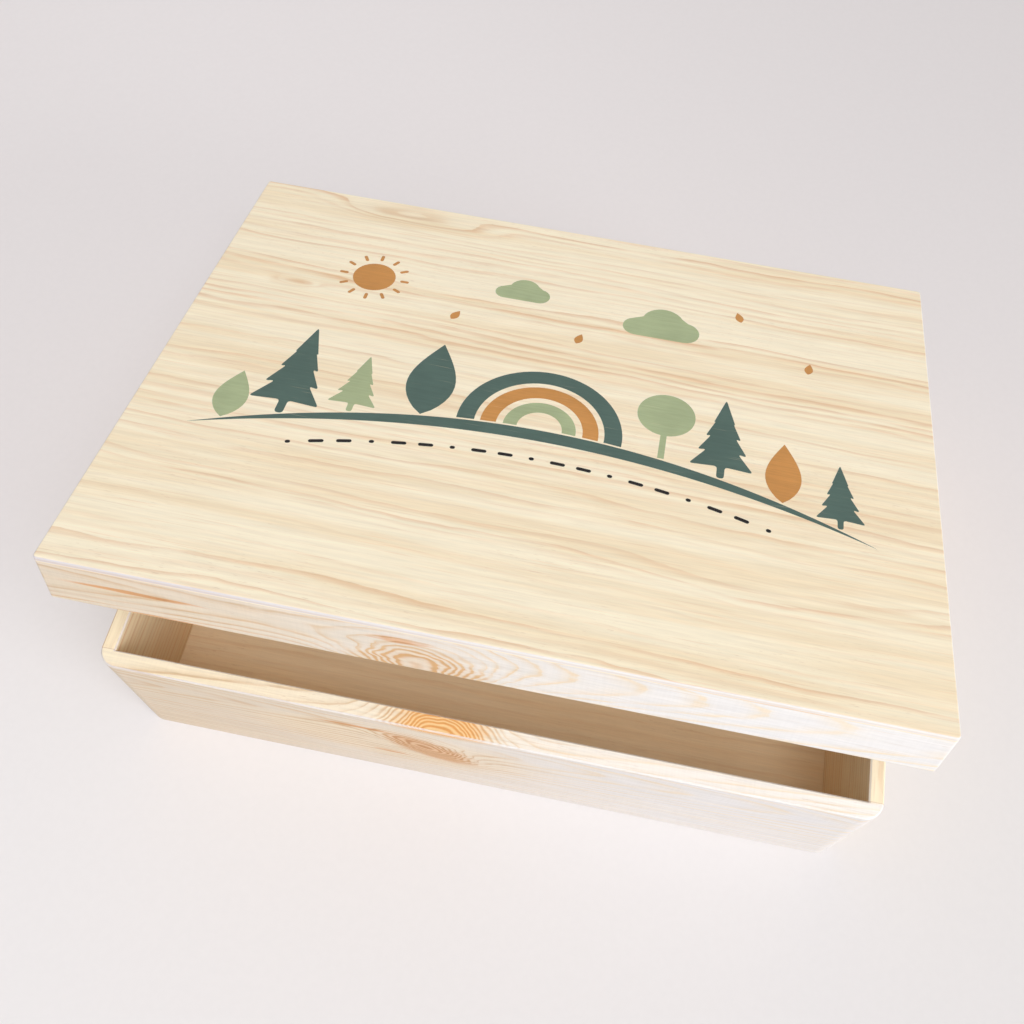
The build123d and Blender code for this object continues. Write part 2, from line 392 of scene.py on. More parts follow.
def late_wood(g, place, board):
    """0 in the pale wood of a ring, rising slowly to 1 at its dark line. Some years' lines are fainter, and
    each line is broad where a knot packs the rings."""
    rings, added = growth_rings(g, place, board)
    drift = g.noise(g.joined(rings, 0.0, 0.0), YEAR_DRIFT, board.seed + 9)[0]
    rings = g.math("ADD", rings, g.math("MULTIPLY", drift, YEAR_DRIFT_BY))
    age = g.math("FRACT", rings)
    wide = g.ramp(age, BROAD_LINE)
    thin = g.math("MULTIPLY", g.ramp(age, THIN_LINE), 1 - board.broad)
    line = g.math("MULTIPLY_ADD", wide, board.broad, thin)
    year = g.node("ShaderNodeTexWhiteNoise", {"W": g.math("FLOOR", rings)}, noise_dimensions="1D")
    fade = g.noise(place, LINE_FADE, board.seed + 14, detail=2)[0]
    strength = g.math("POWER", year.outputs["Value"], FAINT_YEARS)
    strength = g.math("MULTIPLY_ADD", strength, board.year_spread, 1 - board.year_spread)
    strength = g.math("MULTIPLY", strength, g.band(fade, 0.3, 0.6, 0.25, 1.0))
    late = g.math("MULTIPLY", line, strength)
    if not board.swirls:
        return late
    packed = g.band(g.math("ABSOLUTE", added), PACKED_FROM, PACKED_TO)
    return g.math("MAXIMUM", late, g.math("MULTIPLY", wide, packed))


def eased_edge(g, facing):
    """0 on a board's flat faces, 1 on the chamfers and rounds between them."""
    parts = g.split(g.vector("ABSOLUTE", facing))
    flattest = g.math("MAXIMUM", g.math("MAXIMUM", parts[0], parts[1]), parts[2])
    return g.band(flattest, 0.98, 0.78)


def glue_line(g, colour, place, board):
    """The thin dark line where this board's end is glued to the next board."""
    middle = LID_MIDDLE / MM if board.in_lid else 0.0
    end = g.math("ABSOLUTE", g.math("SUBTRACT", g.split(place)[0], middle))
    near = g.band(end, board.joint_at - GLUE_FROM, board.joint_at - GLUE_TO)
    return g.mix(g.math("MULTIPLY", near, GLUE_SHARE), colour, FLECK)


def ply_edge(g, colour, place, facing, board):
    """A panel's sanded edge is pale, with a painted cool reflection towards the left end and painted
    washed-out light towards the right end, and its middle ply shows end grain there.
    """
    under, top = board.plies
    height = g.split(place)[2]
    third = (top - under) / 3
    above = g.band(height, under + third - PLY_BLUR, under + third + PLY_BLUR)
    below = g.band(height, top - third + PLY_BLUR, top - third - PLY_BLUR)
    edge = g.band(g.math("ABSOLUTE", g.split(facing)[2]), 0.85, 0.6)
    pale = g.math("MULTIPLY", edge, g.band(height, top - SANDED_FROM, top - SANDED_TO, 0.15, 0.85))
    # Painted cool reflection towards the left end and painted washed-out light towards the right end
    colour = g.mix(pale, colour, g.mix(along_front(g, place), PAINTED_REFLECTION_EDGE, PAINTED_LIGHT_CHALK))
    middle = g.math("MULTIPLY", g.math("MULTIPLY", above, below), edge)
    return g.mix(g.math("MULTIPLY", middle, PLY_SHARE), colour, TAN)


def toward(g, facing, direction):
    """1 where the surface faces that way, 0 where it faces elsewhere."""
    return g.band(g.vector("DOT_PRODUCT", facing, direction), 0.55, 0.9)


def along_front(g, place):
    """0 at the left end of the box's front, 1 at the right end."""
    return g.band(g.split(place)[0], PAINTED_LIGHT_FROM, PAINTED_LIGHT_TO)


def early_wood(g, place, facing, board):
    """Pale early wood with warmer streaks, and painted shade and washed-out light along the front where the
    board says.
    """
    streak = g.noise(place, STREAK, board.seed + 5, detail=3, rough=0.6)[0]
    warmth = g.math("MULTIPLY", g.band(streak, 0.40, 0.64), board.streaks)
    colour = g.mix(warmth, board.early, board.warm)
    # Painted shade towards the left end of the front and painted washed-out light towards its right end
    for direction, left, right in board.painted_light:
        amount = g.math("MULTIPLY", toward(g, facing, direction), PAINTED_LIGHT_SHARE)
        colour = g.mix(amount, colour, g.mix(along_front(g, place), left, right))
    return colour


def grown_colour(g, place, facing, board, late):
    """The early wood, a stain around each knot, and the dark late-wood lines over both."""
    colour = early_wood(g, place, facing, board)
    contrast = board.line
    tone = board.late
    # Painted washed-out light: towards the right end of the front the lines lose contrast and pale
    if board.painted_light:
        lost = PAINTED_LIGHT_CONTRAST * board.line
        contrast = g.math("MULTIPLY_ADD", along_front(g, place), lost, board.line)
        tone = g.mix(along_front(g, place), board.late, board.painted_lit_late)
    stained = [swirl for swirl in board.swirls if swirl.stain]
    if stained:
        ragged = warped(g, place, STAIN_WARP, board.seed + 41, 3, STAIN_WARP_BY)
    for swirl in stained:
        share = g.band(swirl_mask(g, ragged, swirl), 0.12, 0.62)
        colour = g.mix(g.math("MULTIPLY", share, swirl.stain), colour, swirl.tone)
        contrast = g.math("MULTIPLY_ADD", share, STAINED_CONTRAST * swirl.stain, contrast)
        tone = g.mix(share, tone, swirl.deep)
    return g.mix(g.math("MULTIPLY", late, contrast, clamp=True), colour, tone)


def wood_colour(g, place, facing, board, late, fibre, flecked, marks):
    """The grown colour with pores, hairlines, saw marks, fibres and threads in it."""
    colour = grown_colour(g, place, facing, board, late)
    colour = g.mix(g.math("MULTIPLY", flecked, board.flecks), colour, FLECK)
    hairline = g.noise(place, HAIRLINE, board.seed + 23, detail=1.5)[0]
    colour = g.mix(g.band(hairline, 0.60, 0.74, 0.0, board.hairlines), colour, board.late)
    colour = g.varied(colour, marks, 1 - 0.012 * board.sawn, 1 + 0.01 * board.sawn)
    colour = g.varied(colour, fibre, 0.958, 1.035, reach=FIBRE_REACH)
    thread = g.noise(place, THREAD, board.seed + 17, detail=2, rough=0.6)[0]
    return g.varied(colour, thread, 0.97, 1.03)


def wear_and_painted_light(g, colour, place, facing, board):
    """What sawing, gluing and sanding did to the board's ends, edges and inner face, and the light and
    shade
    painted on it: an amber shade on the inner face, deeper towards the bottom, and highlights, reflections
    and shade on the eased edges.
    """
    edge = board.edges[0]
    # Painted amber shade on the inner face, deeper towards the bottom
    if board.inside:
        height = g.split(place)[2]
        deep = g.band(height, INSIDE_PALE_AT, INSIDE_DEEP_AT, INSIDE_PALE, INSIDE_DEEP)
        colour = g.mix(g.math("MULTIPLY", toward(g, facing, board.inside), deep), colour, PAINTED_SHADE_AMBER)
        inward = g.band(g.vector("DOT_PRODUCT", facing, board.inside), -0.2, 0.4)
        edge = g.mix(inward, *board.edges)
    # Painted washed-out light on the eased edges towards the right end of the front
    if board.painted_light:
        edge = g.mix(along_front(g, place), edge, PAINTED_LIGHT_MIST)
    end = g.band(g.math("ABSOLUTE", g.split(facing)[0]), 0.55, 0.95)
    colour = g.mix(g.math("MULTIPLY", end, END_GRAIN_SHARE), colour, END_GRAIN, "MULTIPLY")
    # Eased edges: sanded wear in the default colours, and painted highlights, reflections and shade in the
    # others
    colour = g.mix(g.math("MULTIPLY", eased_edge(g, facing), EDGE_WEAR_AND_LIGHT_SHARE), colour, edge)
    if board.joint_at:
        colour = glue_line(g, colour, place, board)
    if board.plies:
        colour = ply_edge(g, colour, place, facing, board)
    return colour


def fibres(g, place, board):
    """The finest grain, which shows through the ink as well."""
    return g.noise(place, FIBRE, board.seed + 1, detail=3, rough=0.62)[0]


def wood(name, board):
    """Sanded bare softwood, sawn as the board says."""
    g = Graph(name)
    place, facing = board_space(g, board)
    late = late_wood(g, place, board)
    fibre = fibres(g, place, board)
    patch = g.noise(place, PORE_PATCH, board.seed + 7, detail=1)[0]
    fleck = g.noise(place, PORE, board.seed + 11, detail=1)[0]
    flecked = g.math("MULTIPLY", g.band(fleck, 0.66, 0.76), g.band(patch, 0.42, 0.62))
    marks = g.noise(place, SAW_MARK, board.seed + 29, detail=1)[0]
    colour = wood_colour(g, place, facing, board, late, fibre, flecked, marks)
    colour = wear_and_painted_light(g, colour, place, facing, board)
    rough = g.math("MULTIPLY_ADD", fibre, FIBRE_ROUGH, WOOD_ROUGH)
    rough = g.math("MULTIPLY_ADD", late, LATE_ROUGH, rough)
    height = g.math("MULTIPLY_ADD", late, LATE_RELIEF, fibre)
    height = g.math("MULTIPLY_ADD", flecked, PORE_RELIEF, height)
    height = g.math("MULTIPLY_ADD", marks, SAW_RELIEF * board.sawn, height)
    g.put(g.shader.inputs["Base Color"], colour)
    g.put(g.shader.inputs["Roughness"], rough)
    g.put(g.shader.inputs["Normal"], g.bump(height, GRAIN_DEPTH, GRAIN_STRENGTH))
    g.shader.inputs["Specular IOR Level"].default_value = WOOD_SPECULAR
    return g.material


# Where the photograph shows knots and streaks. The lid's boards are placed in the lid's own frame.
LID_KNOTS = (
    Swirl(place=(-112, -14, 30), reach=(42, 10, 60), rings=3.2, stain=0.1, tone=TAN, deep=TAN),
    Swirl(place=(-66, -22, 30), reach=(30, 7, 60), rings=1.2),
    Swirl(place=(-152, -93, 30), reach=(14, 4, 60), rings=1.8, stain=0.15, tone=TAN, deep=TAN),
    Swirl(place=(140, -262, 30), reach=(120, 26, 60), push=(7, 0)),
)
FRONT_RAIL_KNOTS = (
    Swirl(place=(-30, -302, 16), reach=(62, 200, 60), push=(8, 0)),
    Swirl(place=(-28, -302, -3), reach=(29, 40, 20), rings=-10, stain=0.5, tone=FAWN, deep=TAN),
    Swirl(place=(-38, -302, 21), reach=(13, 40, 2.0), stain=0.7, tone=RUST, deep=BARK),
    Swirl(place=(-158, -302, 16.5), reach=(30, 40, 1.1), stain=0.9, tone=RUST, deep=BARK),
    Swirl(place=(-148, -302, 1.0), reach=(20, 40, 0.8), stain=0.8, tone=RUST, deep=BARK),
)
FRONT_BOARD_KNOTS = (
    Swirl(place=(-45, -150, 55), reach=(75, 30, 28), stain=0.45, tone=SAND, deep=HONEY),
    Swirl(place=(-22, -165, 97), reach=(27, 45, 6.5), rings=15, stain=1.0),
    Swirl(
        place=(-28, -150, 58), reach=(19, 30, 17), lean=0.75, rings=-8, stain=0.95, tone=UMBER, deep=BARK
    ),
    Swirl(place=(-66, -150, 75.5), reach=(17, 40, 1.8), stain=0.9, tone=RUST, deep=BARK),
    Swirl(place=(-50, -150, 38), reach=(7, 40, 2.0), stain=0.9, tone=UMBER, deep=RUST),
)
# Painted shade at the left of the front faces and painted washed-out light at the right of them and of the
# rim: each the direction a face looks in, its left colour and its right colour
RAIL_FACE = ((0, -1, 0), PAINTED_SHADE_BEIGE, PAINTED_LIGHT_CHALK)
BODY_FACE = ((0, -1, 0), PAINTED_SHADE_BEIGE, PAINTED_LIGHT_MIST)
RIM_FACE = ((0, 0, 1), IVORY, PAINTED_HIGHLIGHT_MILK)

FRONT_BOARD = Board(
    pith=(-126, 76),
    slant=(0.07, 0.0),
    rings=3.2,
    waver=(200, 40, 3),
    ripple=0.3,
    early=PALE,
    warm=IVORY,
    painted_lit_late=SAND,
    line=0.85,
    year_spread=0.35,
    sawn=1.0,
    swirls=FRONT_BOARD_KNOTS,
    painted_light=(BODY_FACE, RIM_FACE),
    inside=(0, 1, 0),
    edges=(PAINTED_REFLECTION_EDGE, PAINTED_HIGHLIGHT_MILK),
    seed=21,
)
BACK_BOARD = Board(pith=(128, 20), slant=(-0.03, 0.02), rings=3.8, inside=(0, -1, 0), seed=37)
LEFT_BOARD = Board(
    grain="Y",
    pith=(-215, -60),
    slant=(0.01, 0.01),
    rings=4.2,
    early=IVORY,
    late=RUST,
    line=0.75,
    broad=0.35,
    inside=(0, 1, 0),
    edges=(PAINTED_SHADE_EDGE, PAINTED_REFLECTION_EDGE),
    joint_at=SIDE_BOARD_END / MM,
    seed=43,
)
RIGHT_BOARD = Board(
    grain="Y",
    pith=(215, -50),
    slant=(0.02, 0.02),
    rings=3.9,
    early=IVORY,
    warm=CREAM,
    late=RUST,
    line=0.75,
    broad=0.35,
    inside=(0, -1, 0),
    edges=(IVORY, PAINTED_HIGHLIGHT_MILK),
    joint_at=SIDE_BOARD_END / MM,
    seed=58,
)
BASE_PANEL = Board(
    pith=(-900, -60), rings=9, waver=(180, 60, 18), line=0.35, late=TAN, inside=(0, 0, 1), seed=64
)
LID_FRONT_RAIL = Board(
    in_lid=True,
    pith=(-281, 19),
    slant=(0.07, 0.01),
    rings=2.8,
    waver=(120, 30, 1.5),
    early=PALE,
    warm=IVORY,
    line=1.0,
    year_spread=0.35,
    sawn=1.0,
    swirls=FRONT_RAIL_KNOTS,
    painted_light=(RAIL_FACE,),
    edges=(PAINTED_REFLECTION_EDGE, PAINTED_REFLECTION_EDGE),
    seed=71,
)
LID_BACK_RAIL = Board(in_lid=True, pith=(24, 6), slant=(0.03, 0.02), rings=3.0, seed=83)
LID_LEFT_RAIL = Board(
    grain="Y",
    in_lid=True,
    pith=(-214, 4),
    slant=(0.02, 0.03),
    rings=2.8,
    warm=IVORY,
    joint_at=RAIL_END / MM,
    seed=92,
)
LID_RIGHT_RAIL = Board(
    grain="Y",
    in_lid=True,
    pith=(222, 12),
    slant=(-0.03, 0.02),
    rings=3.1,
    warm=IVORY,
    joint_at=RAIL_END / MM,
    seed=104,
)
LID_PANEL = Board(
    in_lid=True,
    pith=(-900, 20),
    slant=(-0.02, 0.0),
    rings=5.2,
    waver=(150, 34, 20),
    late=RUST,
    line=0.6,
    broad=0.6,
    year_spread=0.95,
    streaks=0.66,
    sawn=0.0,
    swirls=LID_KNOTS,
    edges=(PAINTED_REFLECTION_EDGE, PAINTED_REFLECTION_EDGE),
    plies=(PANEL_UNDER / MM, LID_TOP / MM),
    seed=118,
)

BOARDS = {
    "front_board": FRONT_BOARD,
    "back_board": BACK_BOARD,
    "left_board": LEFT_BOARD,
    "right_board": RIGHT_BOARD,
    "base_panel": BASE_PANEL,
    "lid_front_rail": LID_FRONT_RAIL,
    "lid_back_rail": LID_BACK_RAIL,
    "lid_left_rail": LID_LEFT_RAIL,
    "lid_right_rail": LID_RIGHT_RAIL,
    "lid_panel": LID_PANEL,
}


# ---------------------------------------------------------------- metal
TARNISH = (4, 4, 4)  # size of its patches, in millimetres
TARNISH_SHARE = 0.55
SPOT = (1.1, 1.1, 1.1)
SPOT_SHARE = 0.5
BRUSHED_ROUGH = 0.18
TARNISHED_ROUGH = 0.3
BRUSHING_DEPTH = 0.01 * MM
EDGE_SHINE = 0.25


def metal(name, bright, dull, rough, brushing):
    """Rolled or drawn metal with fine brushing along X and a little tarnish."""
    g = Graph(name)
    source = g.node("ShaderNodeTexCoord").outputs
    place = g.scaled(source["Object"], 1 / MM)
    brushed = g.noise(place, brushing, 2, detail=3, rough=0.6)[0]
    tarnish = g.noise(place, TARNISH, 6, detail=4, rough=0.6)[0]
    spots = g.noise(place, SPOT, 8, detail=2)[0]
    dullness = g.math("MULTIPLY", g.band(tarnish, 0.4, 0.72), TARNISH_SHARE)
    colour = g.mix(dullness, bright, dull)
    colour = g.mix(g.math("MULTIPLY", g.band(spots, 0.66, 0.74), SPOT_SHARE), colour, dull)
    colour = g.varied(colour, brushed, 0.92, 1.05)
    worn = g.math("MULTIPLY", eased_edge(g, source["Normal"]), EDGE_SHINE)
    colour = g.mix(worn, colour, bright)
    roughness = g.math("MULTIPLY_ADD", brushed, BRUSHED_ROUGH, rough)
    roughness = g.math("MULTIPLY_ADD", dullness, TARNISHED_ROUGH, roughness)
    g.shader.inputs["Metallic"].default_value = 1.0
    g.put(g.shader.inputs["Base Color"], colour)
    g.put(g.shader.inputs["Roughness"], roughness)
    g.put(g.shader.inputs["Normal"], g.bump(brushed, BRUSHING_DEPTH, 0.4))
    return g.material


# ---------------------------------------------------------------- printed artwork
# Its outlines are in millimetres, from the middle of the lid: x to the right and y to the back.
PRINT_SINK = 0.03 * MM  # how far the ink's layer reaches into the panel
PRINT_PROUD = 0.05 * MM  # how far it stands above it
PRINT_GAP = 1.1  # between the hill and what stands on it
THIN_PATCH = (22, 0.5, 0.5)  # where the wood shows through the ink
THIN_SHARE = 0.28
INK_SHADE = (18, 18, 18)
INK_ROUGH = 0.5
INK_FIBRE_ROUGH = 0.14

HILL_TOP = -20.0
HILL_CURVE = 0.0013
HILL_REACH = 168.0
HILL_THICKNESS = 7.5
PATH_BELOW_HILL = 20.0
PATH_STEP = 13.0
DOT_LENGTH, DASH_LENGTH, DASH_WIDTH = 2.6, 7.5, 2.0
RAY_FROM_DISC, RAY_LENGTH, RAY_WIDTH = 5.5, 5.0, 1.9


def ink(name, colour):
    """Flat ink over bare wood: the fibres show through a little, and stand up under it."""
    g = Graph(name)
    place, _ = board_space(g, LID_PANEL)
    fibre = fibres(g, place, LID_PANEL)
    thin = g.noise(place, THIN_PATCH, 31, detail=2)[0]
    shade = g.noise(place, INK_SHADE, 12, detail=2)[0]
    tone = g.varied(colour, shade, 0.95, 1.06)
    tone = g.varied(tone, fibre, 0.93, 1.06, reach=FIBRE_REACH)
    tone = g.mix(g.math("MULTIPLY", g.band(thin, 0.66, 0.8), THIN_SHARE), tone, SAND)
    g.put(g.shader.inputs["Base Color"], tone)
    g.put(g.shader.inputs["Roughness"], g.math("MULTIPLY_ADD", fibre, INK_FIBRE_ROUGH, INK_ROUGH))
    g.put(g.shader.inputs["Normal"], g.bump(fibre, GRAIN_DEPTH, GRAIN_STRENGTH))
    g.shader.inputs["Specular IOR Level"].default_value = WOOD_SPECULAR
    return g.material


def arc(centre, radius, start, stop, steps):
    """Points on an arc, from one angle to another in degrees."""
    x, y = centre
    angles = [math.radians(start + (stop - start) * i / steps) for i in range(steps + 1)]
    return [(x + radius * math.cos(a), y + radius * math.sin(a)) for a in angles]


def softened(points, radius, steps=4):
    """A closed outline whose corners are each rounded over about a radius."""
    rounded = []
    for before, corner, after in zip(points[-1:] + points, points, points[1:] + points[:1]):
        before, corner, after = Vector(before), Vector(corner), Vector(after)
        start = corner + (before - corner) * min(0.45, radius / (before - corner).length)
        stop = corner + (after - corner) * min(0.45, radius / (after - corner).length)
        for step in range(steps + 1):
            share = step / steps
            rounded.append(start.lerp(corner, share).lerp(corner.lerp(stop, share), share)[:])
    return rounded


def conifer(x, foot, width, height, tiers=4):
    """A fir in one outline: a trunk and tiers of boughs that narrow to the top."""
    trunk, skirt = width * 0.06, height * 0.14
    rise = (height - skirt) / (tiers + 0.6)
    right = [(trunk, 0.0), (trunk, skirt)]
    for tier in range(tiers):
        reach = width / 2 * (1 - tier / (tiers + 0.6))
        low = skirt + rise * tier
        right.append((reach, low - 0.1 * rise))
        right.append((reach * 0.5, low + rise))
    right[-1] = (0.0, height)
    left = [(-px, py) for px, py in reversed(right[:-1])]
    return softened([(x + px, foot + py) for px, py in right + left], width * 0.06)


def turned(outline, x, y, degrees):
    """An outline turned about its own origin, which is then put at x, y."""
    cos, sin = math.cos(math.radians(degrees)), math.sin(math.radians(degrees))
    return [(x + px * cos - py * sin, y + px * sin + py * cos) for px, py in outline]


def leaf(x, foot, width, height, lean=0.0):
    """A pointed oval that stands on its tip, and leans to the right by some degrees."""
    steps = 14
    shares = [step / steps for step in range(steps + 1)]
    right = [(width / 2 * math.sin(math.pi * share**0.8), height * share) for share in shares]
    left = [(-px, py) for px, py in reversed(right[1:-1])]
    return turned(right + left, x, foot, -lean)


def round_tree(x, foot, radius, height):
    """A round crown on a thin trunk, in one outline."""
    trunk = radius * 0.11
    crown = (x, foot + height - radius)
    return [(x - trunk, foot), (x + trunk, foot)] + arc(crown, radius, -84, 264, 40)


def arch(outer, band):
    """A half ring over the middle of the hill, whose feet reach down to the brow."""
    foot, inner = ground(0) + PRINT_GAP, outer - band
    drop, inner_drop = (math.degrees(math.asin((ground(0) - ground(r)) / r)) for r in (outer, inner))
    outline = arc((0, foot), outer, -drop, 180 + drop, 36)
    return outline + arc((0, foot), inner, 180 + inner_drop, -inner_drop, 36)


def cloud(x, foot, width):
    """Three humps on a flat foot."""
    unit = width / 10
    humps = arc((x + 3 * unit, foot + 1.9 * unit), 1.9 * unit, -90, 80, 10)
    humps += arc((x + 0.2 * unit, foot + 3.1 * unit), 2.7 * unit, 30, 165, 12)
    humps += arc((x - 3.2 * unit, foot + 1.6 * unit), 1.6 * unit, 110, 270, 10)
    return humps


def dash(x, y, length, width, turn):
    """A short stroke with round ends."""
    half = length / 2 - width / 2
    outline = arc((half, 0), width / 2, -90, 90, 8) + arc((-half, 0), width / 2, 90, 270, 8)
    return turned(outline, x, y, turn)


def ground(x):
    """Height of the printed hill's brow above the lid's middle, at x: a low arch."""
    return HILL_TOP - HILL_CURVE * x * x


def hill():
    """A long crescent of ground that the trees stand on."""
    steps = 48
    xs = [HILL_REACH * (2 * step / steps - 1) for step in range(steps + 1)]
    top = [(x, ground(x)) for x in xs]
    under = [(x, ground(x) - HILL_THICKNESS * (1 - (x / HILL_REACH) ** 2)) for x in reversed(xs[1:-1])]
    return top + under


def path_marks():
    """A row below the hill that follows it: two dashes and a dot, again and again."""
    marks = []
    for i in range(-9, 10):
        x = i * PATH_STEP
        turn = math.degrees(math.atan(-2 * HILL_CURVE * x))
        length = DOT_LENGTH if i % 3 == 0 else DASH_LENGTH
        marks.append(dash(x, ground(x) - PATH_BELOW_HILL, length, DASH_WIDTH, turn))
    return marks


def sun(x, y, radius, rays=12):
    """A disc with short strokes around it."""
    shapes = [arc((x, y), radius, 0, 350, 35)]
    away = radius + RAY_FROM_DISC
    for ray in range(rays):
        turn = 360 / rays * ray
        angle = math.radians(turn)
        middle = (x + away * math.cos(angle), y + away * math.sin(angle))
        shapes.append(dash(*middle, RAY_LENGTH, RAY_WIDTH, turn))
    return shapes


def on_ground(shape, x, *sizes):
    """A shape that stands on the hill's brow at x, a little clear of it."""
    return shape(x, ground(x) + PRINT_GAP, *sizes)


FALLING_LEAVES = ((8, 50, 14), (96, 92, -18), (-62, 52, 24), (134, 58, 8))  # x, y and lean

ARTWORK = {
    "print_green": (
        FOREST,
        [
            hill(),
            on_ground(conifer, -128, 36, 66),
            on_ground(conifer, 92, 32, 56),
            on_ground(leaf, -60, 25, 54),
            on_ground(conifer, 151, 24, 42),
            arch(42, 9),
        ],
    ),
    "print_sage": (
        SAGE,
        [
            on_ground(conifer, -95, 25, 42),
            on_ground(round_tree, 62, 15, 46),
            on_ground(leaf, -154, 17, 34),
            arch(18.5, 7),
            cloud(52, 66, 44),
            cloud(-28, 78, 32),
        ],
    ),
    "print_caramel": (
        CARAMEL,
        [
            arch(30, 8),
            on_ground(leaf, 123, 18, 40),
            *sun(-112, 76, 12),
            *(leaf(x, y, 4.6, 8.5, lean) for x, y, lean in FALLING_LEAVES),
        ],
    ),
    "print_black": (INK, path_marks()),
}


def printed(name, colour, outlines):
    """Outlines drawn about the lid's middle, in millimetres, as one thin layer of ink on its top."""
    mesh = bpy.data.meshes.new(name)
    shape = bmesh.new()
    for outline in outlines:
        corners = [Vector((x * MM, y * MM + LID_MIDDLE, LID_TOP - PRINT_SINK)) for x, y in outline]
        shape.faces.new([shape.verts.new(corner) for corner in corners])
    raised = bmesh.ops.extrude_face_region(shape, geom=list(shape.faces), use_keep_orig=True)
    lifted = [v for v in raised["geom"] if isinstance(v, bmesh.types.BMVert)]
    bmesh.ops.translate(shape, verts=lifted, vec=(0, 0, PRINT_SINK + PRINT_PROUD))
    bmesh.ops.recalc_face_normals(shape, faces=shape.faces)
    shape.transform(LID_TO_FRAME)
    shape.to_mesh(mesh)
    shape.free()
    piece = bpy.data.objects.new(name, mesh)
    bpy.context.scene.collection.objects.link(piece)
    mesh.materials.append(ink(name + "_ink", colour))
    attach(piece, "lid")


# ---------------------------------------------------------------- stage
FLOOR_HALF = 4.0
FLOOR_LEVEL = -0.00005  # a hair under the box
FLOOR_NEAR = srgb(232, 228, 228)
FLOOR_FAR = srgb(229, 223, 223)
FLOOR_TURN = -0.186  # x for each y of the way, away from the camera, along which the tone changes
FLOOR_NEAR_AT, FLOOR_FAR_AT = -0.16, 0.06
# Painted light towards the left and painted shade towards the right, which even out the lamps' falloff
FLOOR_LEFT_AT, FLOOR_RIGHT_AT = -0.5, 0.5
FLOOR_LEFT_TINT, FLOOR_RIGHT_TINT = 1.08, 0.94
FLOOR_EVEN = 0.2  # share of the floor that shows its own tone whatever the light
FLOOR_GLOW = 0.94
FLOOR_ROUGH = 0.9
FLOOR_SPECULAR = 0.1
PAPER_GRAIN = (0.004, 0.004, 0.004)

ROOM_COLOUR = (0.985, 0.99, 1.0, 1.0)
ROOM_STRENGTH = 0.45


@dataclass
class Softbox:
    """A square studio lamp, in metres and watts. A spread below 180 degrees is a grid in front of it that
    keeps its light together."""

    place: tuple
    aim: tuple
    size: float
    power: float
    spread: float = 180.0


SOFTBOXES = {
    "light_above": Softbox(place=(0.9, -1.7, 4.0), aim=(0.0, 0.0, 0.1), size=2.4, power=112.0),
    "light_right": Softbox(
        place=(3.0, -1.4, 1.1), aim=(-0.1, -0.12, 0.08), size=1.4, power=5.2, spread=60.0
    ),
}


def seen_or_mirrored(nodes, links):
    """1 where the camera looks, straight or by a reflection, and 0 where light is gathered."""
    path = nodes.new("ShaderNodeLightPath")
    seen = nodes.new("ShaderNodeMath")
    seen.operation = "MAXIMUM"
    links.new(path.outputs["Is Camera Ray"], seen.inputs[0])
    links.new(path.outputs["Is Glossy Ray"], seen.inputs[1])
    return seen.outputs[0]


def floor_material():
    """Pale paper, a shade darker towards the back, with painted light towards the left and painted shade
    towards the right that even out the lamps' falloff. A share of it shows its own tone to the camera
    whatever the light, and the rest keeps the box's shadow."""
    g = Graph("floor_paper")
    place = g.node("ShaderNodeTexCoord").outputs["Object"]
    depth = g.vector("DOT_PRODUCT", place, (FLOOR_TURN, 1.0, 0.0))
    tone = g.mix(g.band(depth, FLOOR_NEAR_AT, FLOOR_FAR_AT), FLOOR_NEAR, FLOOR_FAR)
    side = g.split(place)[0]
    # Painted light towards the left and painted shade towards the right, which even out the lamps' falloff
    tint = g.band(side, FLOOR_LEFT_AT, FLOOR_RIGHT_AT, FLOOR_LEFT_TINT, FLOOR_RIGHT_TINT)
    tone = g.tinted(tone, tint)
    grain = g.noise(place, PAPER_GRAIN, 1, detail=3)[0]
    tone = g.varied(tone, grain, 0.995, 1.005)
    g.put(g.shader.inputs["Base Color"], tone)
    g.shader.inputs["Roughness"].default_value = FLOOR_ROUGH
    g.shader.inputs["Specular IOR Level"].default_value = FLOOR_SPECULAR
    even = g.node("ShaderNodeEmission", {"Color": tone, "Strength": FLOOR_GLOW}).outputs[0]
    share = g.math("MULTIPLY", seen_or_mirrored(g.nodes, g.links), FLOOR_EVEN)
    surface = g.node("ShaderNodeMixShader", {0: share, 1: g.shader.outputs[0], 2: even}).outputs[0]
    g.links.new(surface, g.nodes["Material Output"].inputs["Surface"])
    return g.material


def make_floor():
    """A sheet so large that its edge is far behind the box."""
    mesh = bpy.data.meshes.new("floor")
    signs = ((-1, -1), (1, -1), (1, 1), (-1, 1))
    corners = [(x * FLOOR_HALF, y * FLOOR_HALF, FLOOR_LEVEL) for x, y in signs]
    mesh.from_pydata(corners, [], [(0, 1, 2, 3)])
    floor = bpy.data.objects.new("floor", mesh)
    bpy.context.scene.collection.objects.link(floor)
    mesh.materials.append(floor_material())


def make_lamp(name, softbox):
    """Hangs a softbox in its place, turned to its aim."""
    lamp = bpy.data.lights.new(name, "AREA")
    lamp.size = softbox.size
    lamp.energy = softbox.power
    lamp.spread = math.radians(softbox.spread)
    holder = bpy.data.objects.new(name, lamp)
    holder.location = softbox.place
    holder.rotation_mode = "QUATERNION"
    heading = Vector(softbox.aim) - Vector(softbox.place)
    holder.rotation_quaternion = heading.to_track_quat("-Z", "Y")
    bpy.context.scene.collection.objects.link(holder)


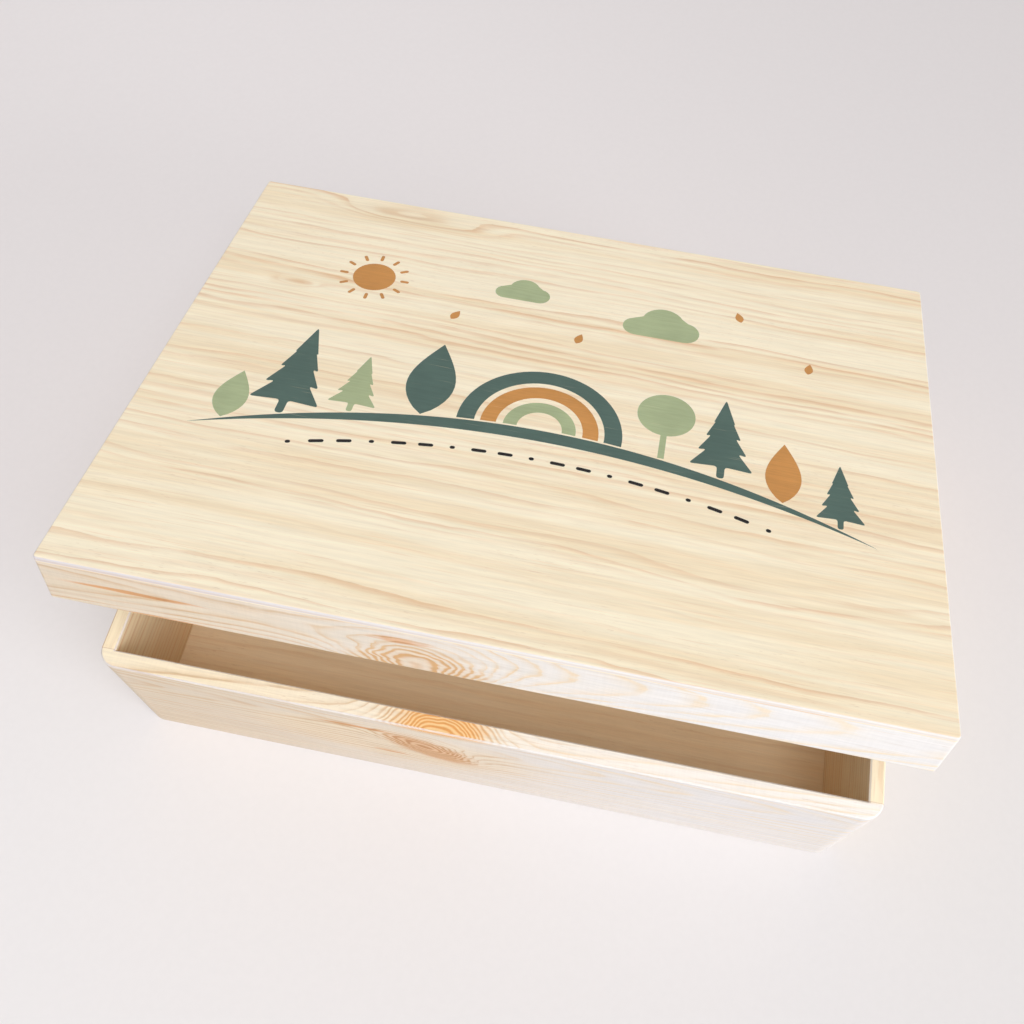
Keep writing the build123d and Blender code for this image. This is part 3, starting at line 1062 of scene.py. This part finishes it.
def make_room():
    """An even pale room. The camera and the metal see the floor's far tone in its place."""
    world = bpy.data.worlds.new("studio")
    world.use_nodes = True
    nodes, links = world.node_tree.nodes, world.node_tree.links
    nodes.clear()
    room = nodes.new("ShaderNodeBackground")
    room.inputs["Color"].default_value = ROOM_COLOUR
    room.inputs["Strength"].default_value = ROOM_STRENGTH
    backdrop = nodes.new("ShaderNodeBackground")
    backdrop.inputs["Color"].default_value = FLOOR_FAR
    backdrop.inputs["Strength"].default_value = 1.0
    blend = nodes.new("ShaderNodeMixShader")
    links.new(seen_or_mirrored(nodes, links), blend.inputs[0])
    links.new(room.outputs[0], blend.inputs[1])
    links.new(backdrop.outputs[0], blend.inputs[2])
    out = nodes.new("ShaderNodeOutputWorld")
    links.new(blend.outputs[0], out.inputs[0])
    bpy.context.scene.world = world


# The photograph's view, found by matching the box's corners in it
PHOTO_PIXELS = 1024
FOCAL_PIXELS = 1062.602
PHOTO_CENTRE = (536.079, 498.757)  # where the camera's axis meets the picture, in pixels
SENSOR_MM = 36.0
CAMERA_PLACE = Vector((0.0381186, -0.2838985, 0.6180256))
CAMERA_FORWARD = Vector((-0.0622368, 0.4620921, -0.8846454))
CAMERA_RIGHT = Vector((0.9810420, 0.1913139, 0.0309137))


def make_camera():
    """Stands where the photograph was taken from."""
    data = bpy.data.cameras.new("photo_camera")
    data.sensor_width = SENSOR_MM
    data.lens = FOCAL_PIXELS / PHOTO_PIXELS * SENSOR_MM
    data.shift_x = (PHOTO_PIXELS / 2 - PHOTO_CENTRE[0]) / PHOTO_PIXELS
    data.shift_y = (PHOTO_CENTRE[1] - PHOTO_PIXELS / 2) / PHOTO_PIXELS
    data.clip_start, data.clip_end = 0.01, 50.0
    camera = bpy.data.objects.new("photo_camera", data)
    up = CAMERA_RIGHT.cross(CAMERA_FORWARD)
    heading = Matrix((CAMERA_RIGHT, up, -CAMERA_FORWARD)).transposed()
    camera.matrix_world = Matrix.Translation(CAMERA_PLACE) @ heading.to_4x4()
    bpy.context.scene.collection.objects.link(camera)
    bpy.context.scene.camera = camera


# ---------------------------------------------------------------- the scene
def dress():
    """Gives every carried-over CAD node its material."""
    brass = metal("satin_brass", BRASS, BRASS_DULL, rough=0.26, brushing=(14, 0.25, 0.25))
    steel = metal("drawn_steel", STEEL, STEEL_DULL, rough=0.24, brushing=(6, 0.2, 0.2))
    for name, node in NODES.items():
        if name in BOARDS:
            finish = wood(name + "_wood", BOARDS[name])
        elif "leaf" in name or "screws" in name:
            finish = brass
        else:
            finish = steel
        for slot in node.material_slots:
            slot.material = finish


dress()
for piece_name, (piece_colour, piece_outlines) in ARTWORK.items():
    printed(piece_name, piece_colour, piece_outlines)
make_floor()
make_room()
for lamp_name, lamp_softbox in SOFTBOXES.items():
    make_lamp(lamp_name, lamp_softbox)
make_camera()
bpy.context.scene.view_settings.view_transform = "Standard"
